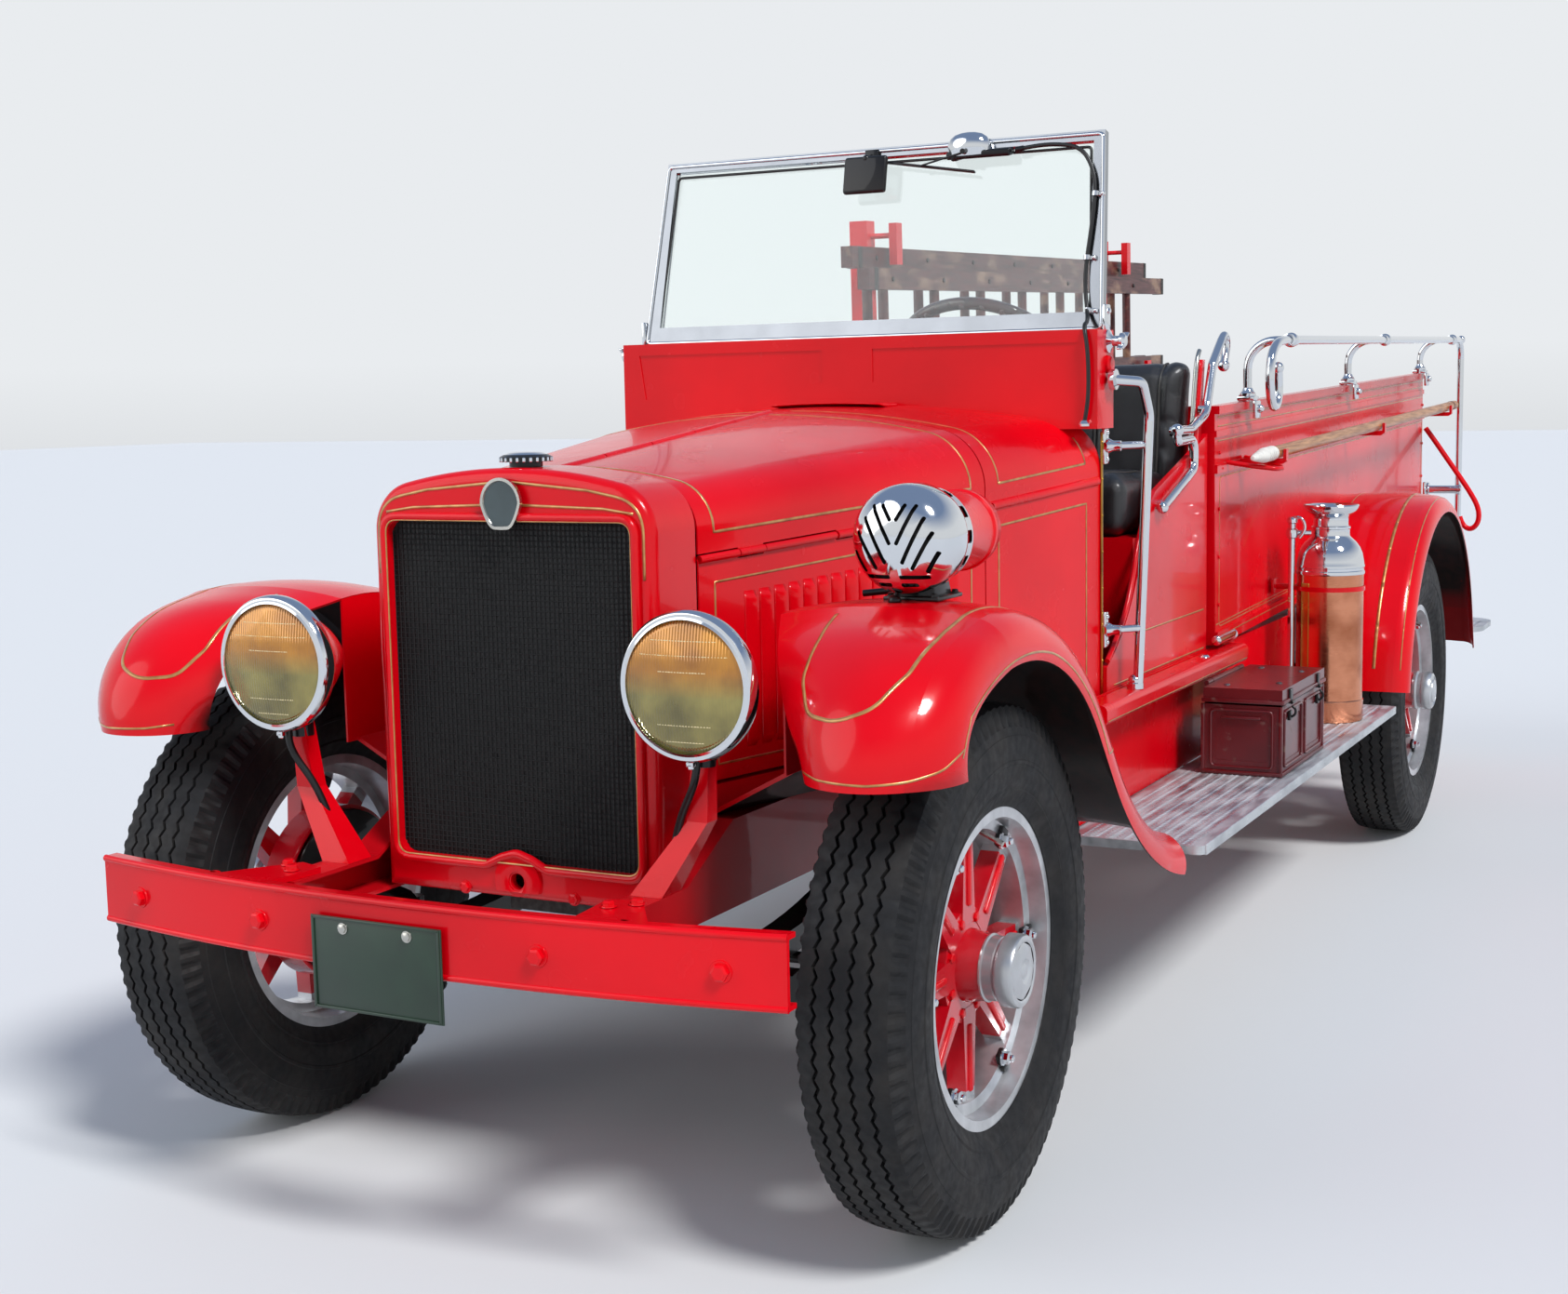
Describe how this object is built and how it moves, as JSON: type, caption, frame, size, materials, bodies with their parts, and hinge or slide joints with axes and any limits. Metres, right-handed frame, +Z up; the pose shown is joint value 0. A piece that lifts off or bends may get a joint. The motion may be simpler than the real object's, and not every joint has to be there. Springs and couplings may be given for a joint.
{
  "type": "fire engine",
  "caption": "Open-cab vintage fire engine with chrome bumper, fender siren, butterfly bonnet, running boards, hose body, side ladders and pike pole.",
  "frame": {"origin": "on the ground under the middle of the vehicle's length and width", "axes": "+Z up, the front faces -Y, the driver's side is +X"},
  "size_m": [1.79, 5.5919, 1.9559],
  "materials": {
    "red_paint": "gloss",
    "chassis_paint": "satin",
    "black_paint": "satin",
    "chrome": "polished",
    "tyre_rubber": "matt",
    "lamp_glass": "ribbed",
    "clear_glass": "clear",
    "black_leather": "pleated",
    "dark_wood": "worn",
    "pole_wood": "varnished",
    "copper": "polished",
    "tread_plate": "diamond plate",
    "box_paint": "gloss",
    "cast_block": "rough",
    "brown_rim": "gloss",
    "floor_wood": "painted"
  },
  "bodies": {
    "vehicle": {"bonnet_ledges": "chassis_paint", "chassis_frame": "chassis_paint", "cowl": "red_paint", "engine_block": "cast_block", "exhaust": "cast_block", "extinguisher": "copper", "floor_boards": "floor_wood", "front_axle": "black_paint", "front_bumper": "chrome", "front_fenders": "red_paint", "grab_rails": "chrome", "hand_rail": "chrome", "headlamp_lenses": "lamp_glass", "headlamp_rims": "chrome", "headlamps": "red_paint", "hose_body": "red_paint", "ladder_rack": "red_paint", "ladders": "dark_wood", "leaf_springs": "black_paint", "pike_pole": "pole_wood", "pole_hooks": "red_paint", "propeller_shaft": "black_paint", "radiator_cap": "black_paint", "radiator_core": "black_paint", "radiator_shell": "red_paint", "rear_axle": "black_paint", "rear_fenders": "red_paint", "running_boards": "tread_plate", "seat_back": "black_leather", "seat_box": "red_paint", "seat_cushion": "black_leather", "seat_rails": "chrome", "siren": "chrome", "steering_column": "black_paint", "step_aprons": "red_paint", "tailboard": "tread_plate", "toolbox": "box_paint", "windshield_frame": "chrome", "windshield_glass": "clear_glass"},
    "wheel_front_left": {"wheel_front_left": "red_paint", "tyre_front_left": "tyre_rubber"},
    "wheel_front_right": {"wheel_front_right": "red_paint", "tyre_front_right": "tyre_rubber"},
    "wheel_rear_left": {"wheel_rear_left": "red_paint", "tyre_rear_left": "tyre_rubber"},
    "wheel_rear_right": {"wheel_rear_right": "red_paint", "tyre_rear_right": "tyre_rubber"},
    "knuckle_left": {"knuckle_left": "black_paint"},
    "knuckle_right": {"knuckle_right": "black_paint"},
    "tie_rod": {"tie_rod": "black_paint"},
    "steering_wheel": {"steering_wheel": "brown_rim"},
    "bonnet_top_left": {"bonnet_top_left": "red_paint"},
    "bonnet_top_right": {"bonnet_top_right": "red_paint"},
    "bonnet_side_left": {"bonnet_side_left": "red_paint"},
    "bonnet_side_right": {"bonnet_side_right": "red_paint"},
    "toolbox_lid": {"toolbox_lid": "box_paint"}
  },
  "joints": [
    {"name": "steer_left", "type": "hinge", "parent": "vehicle", "child": "knuckle_left", "pos_m": [0.545, -2.184, 0.44], "axis": [0, 0, 1], "range_deg": [-25, 25]},
    {"name": "steer_right", "type": "hinge", "parent": "vehicle", "child": "knuckle_right", "pos_m": [-0.545, -2.184, 0.44], "axis": [0, 0, 1], "range_deg": [-25, 25]},
    {"name": "tie_rod_end", "type": "hinge", "parent": "knuckle_left", "child": "tie_rod", "pos_m": [0.545, -2.034, 0.369], "axis": [0, 0, 1], "range_deg": [-25, 25]},
    {"name": "steering_wheel_turn", "type": "hinge", "parent": "vehicle", "child": "steering_wheel", "pos_m": [0.21, -0.819, 1.432], "axis": [0, 0.7071, 0.7071], "range_deg": [-300, 300]},
    {"name": "front_left_wheel_spin", "type": "hinge", "parent": "knuckle_left", "child": "wheel_front_left", "pos_m": [0.686, -2.184, 0.44], "axis": [1, 0, 0], "continuous": true},
    {"name": "front_right_wheel_spin", "type": "hinge", "parent": "knuckle_right", "child": "wheel_front_right", "pos_m": [-0.686, -2.184, 0.44], "axis": [1, 0, 0], "continuous": true},
    {"name": "rear_left_wheel_spin", "type": "hinge", "parent": "vehicle", "child": "wheel_rear_left", "pos_m": [0.749, 1.216, 0.44], "axis": [1, 0, 0], "continuous": true},
    {"name": "rear_right_wheel_spin", "type": "hinge", "parent": "vehicle", "child": "wheel_rear_right", "pos_m": [-0.749, 1.216, 0.44], "axis": [1, 0, 0], "continuous": true},
    {"name": "bonnet_hinge_left", "type": "hinge", "parent": "vehicle", "child": "bonnet_top_left", "pos_m": [0, -2.3, 1.258], "axis": [0, -0.9943, -0.1069], "range_deg": [0, 50]},
    {"name": "bonnet_hinge_right", "type": "hinge", "parent": "vehicle", "child": "bonnet_top_right", "pos_m": [0, -2.3, 1.258], "axis": [0, 0.9943, 0.1069], "range_deg": [0, 50]},
    {"name": "bonnet_side_hinge_left", "type": "hinge", "parent": "bonnet_top_left", "child": "bonnet_side_left", "pos_m": [0.2825, -2.3, 1.112], "axis": [0.2308, 0.9716, 0.0522], "range_deg": [0, 40]},
    {"name": "bonnet_side_hinge_right", "type": "hinge", "parent": "bonnet_top_right", "child": "bonnet_side_right", "pos_m": [-0.2825, -2.3, 1.112], "axis": [0.2308, -0.9716, -0.0522], "range_deg": [0, 40]},
    {"name": "toolbox_lid_hinge", "type": "hinge", "parent": "vehicle", "child": "toolbox_lid", "pos_m": [0.645, -0.584, 0.6873], "axis": [0, -1, 0], "range_deg": [0, 90]}
  ],
  "couplings": [
    {"joint": "steer_right", "follows": "steer_left", "ratio": 1},
    {"joint": "tie_rod_end", "follows": "steer_left", "ratio": -1},
    {"joint": "steering_wheel_turn", "follows": "steer_left", "ratio": 12},
    {"joint": "bonnet_side_hinge_left", "follows": "bonnet_hinge_left", "ratio": 0.8},
    {"joint": "bonnet_side_hinge_right", "follows": "bonnet_hinge_right", "ratio": 0.8}
  ]
}
